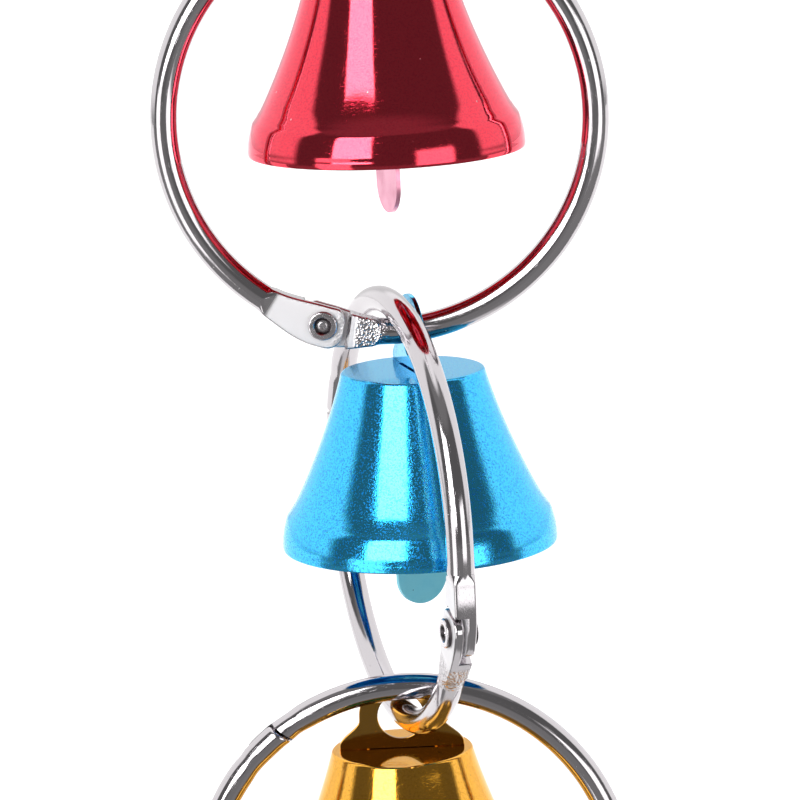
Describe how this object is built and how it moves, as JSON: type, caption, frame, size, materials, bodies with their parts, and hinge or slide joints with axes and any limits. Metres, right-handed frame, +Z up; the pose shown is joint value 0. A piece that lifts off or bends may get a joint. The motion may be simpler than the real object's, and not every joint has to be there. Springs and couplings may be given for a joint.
{
  "type": "hanging bell bird toy",
  "caption": "Hanging cage toy: a chain of hinged snap rings in plated steel wire, with flared metal bells and flat clappers swinging inside the rings.",
  "frame": {"origin": "where the cage bar bears on the inside of the hanging ring's top", "axes": "+Z up along the chain, X across the upper and lower rings' faces, -Y towards the viewer"},
  "size_m": [0.05, 0.0486, 0.1811],
  "materials": {
    "nickel": "bright nickel plate",
    "red_anodised": "mirror red anodised",
    "blue_anodised": "mirror blue anodised",
    "gold_anodised": "mirror gold anodised"
  },
  "bodies": {
    "hanging_ring": {"hanging_ring_top_half": "nickel", "hanging_ring_rivet": "nickel"},
    "hanging_ring_lower": {"hanging_ring_bottom_half": "nickel"},
    "upper_ring": {"upper_ring_top_half": "nickel", "upper_ring_rivet": "nickel"},
    "upper_ring_lower": {"upper_ring_bottom_half": "nickel"},
    "middle_ring": {"middle_ring_top_half": "nickel", "middle_ring_rivet": "nickel"},
    "middle_ring_lower": {"middle_ring_bottom_half": "nickel"},
    "lower_ring": {"lower_ring_top_half": "nickel", "lower_ring_rivet": "nickel"},
    "lower_ring_lower": {"lower_ring_bottom_half": "nickel"},
    "red_bell": {"red_bell_shell": "red_anodised", "red_bell_hanger": "red_anodised"},
    "red_clapper": {"red_bell_clapper": "red_anodised"},
    "blue_bell": {"blue_bell_shell": "blue_anodised", "blue_bell_hanger": "blue_anodised"},
    "blue_clapper": {"blue_bell_clapper": "blue_anodised"},
    "gold_bell": {"gold_bell_shell": "gold_anodised", "gold_bell_hanger": "gold_anodised"},
    "gold_clapper": {"gold_bell_clapper": "gold_anodised"}
  },
  "joints": [
    {"name": "hanging_ring_open", "type": "hinge", "parent": "hanging_ring", "child": "hanging_ring_lower", "pos_m": [0.00601, 0.02094, -0.0308], "axis": [0.9613, -0.2756, 0], "range_deg": [0, 60]},
    {"name": "upper_ring_swing", "type": "hinge", "parent": "hanging_ring_lower", "child": "upper_ring", "pos_m": [0, 0, -0.0455], "axis": [0.2756, 0.9613, 0], "range_deg": [-35, 35]},
    {"name": "upper_ring_open", "type": "hinge", "parent": "upper_ring", "child": "upper_ring_lower", "pos_m": [-0.00726, 0, -0.08805], "axis": [0, 1, 0], "range_deg": [0, 60]},
    {"name": "middle_ring_swing", "type": "hinge", "parent": "upper_ring_lower", "child": "middle_ring", "pos_m": [0, 0, -0.0892], "axis": [1, 0, 0], "range_deg": [-35, 35]},
    {"name": "middle_ring_open", "type": "hinge", "parent": "middle_ring", "child": "middle_ring_lower", "pos_m": [0.00601, -0.02094, -0.1182], "axis": [-0.9613, -0.2756, 0], "range_deg": [0, 60]},
    {"name": "lower_ring_swing", "type": "hinge", "parent": "middle_ring_lower", "child": "lower_ring", "pos_m": [0, 0, -0.1329], "axis": [0.2756, -0.9613, 0], "range_deg": [-35, 35]},
    {"name": "lower_ring_open", "type": "hinge", "parent": "lower_ring", "child": "lower_ring_lower", "pos_m": [0.01542, 0, -0.17084], "axis": [0, -1, 0], "range_deg": [0, 60]},
    {"name": "red_bell_swing", "type": "hinge", "parent": "upper_ring", "child": "red_bell", "pos_m": [0.00066, 0.0023, -0.04538], "axis": [0.2756, 0.9613, 0], "range_deg": [-12, 12]},
    {"name": "red_clapper_swing", "type": "hinge", "parent": "red_bell", "child": "red_clapper", "pos_m": [0.00066, 0.0023, -0.05458], "axis": [0, 1, 0], "range_deg": [-40, 40]},
    {"name": "blue_bell_swing", "type": "hinge", "parent": "middle_ring", "child": "blue_bell", "pos_m": [0.00239, 0, -0.08908], "axis": [1, 0, 0], "range_deg": [-12, 12]},
    {"name": "blue_clapper_swing", "type": "hinge", "parent": "blue_bell", "child": "blue_clapper", "pos_m": [0.00239, 0, -0.09828], "axis": [0.9613, 0.2756, 0], "range_deg": [-40, 40]},
    {"name": "gold_bell_swing", "type": "hinge", "parent": "lower_ring", "child": "gold_bell", "pos_m": [-0.00066, 0.0023, -0.13278], "axis": [0.2756, -0.9613, 0], "range_deg": [-12, 12]},
    {"name": "gold_clapper_swing", "type": "hinge", "parent": "gold_bell", "child": "gold_clapper", "pos_m": [-0.00066, 0.0023, -0.14198], "axis": [0, 1, 0], "range_deg": [-40, 40]}
  ]
}
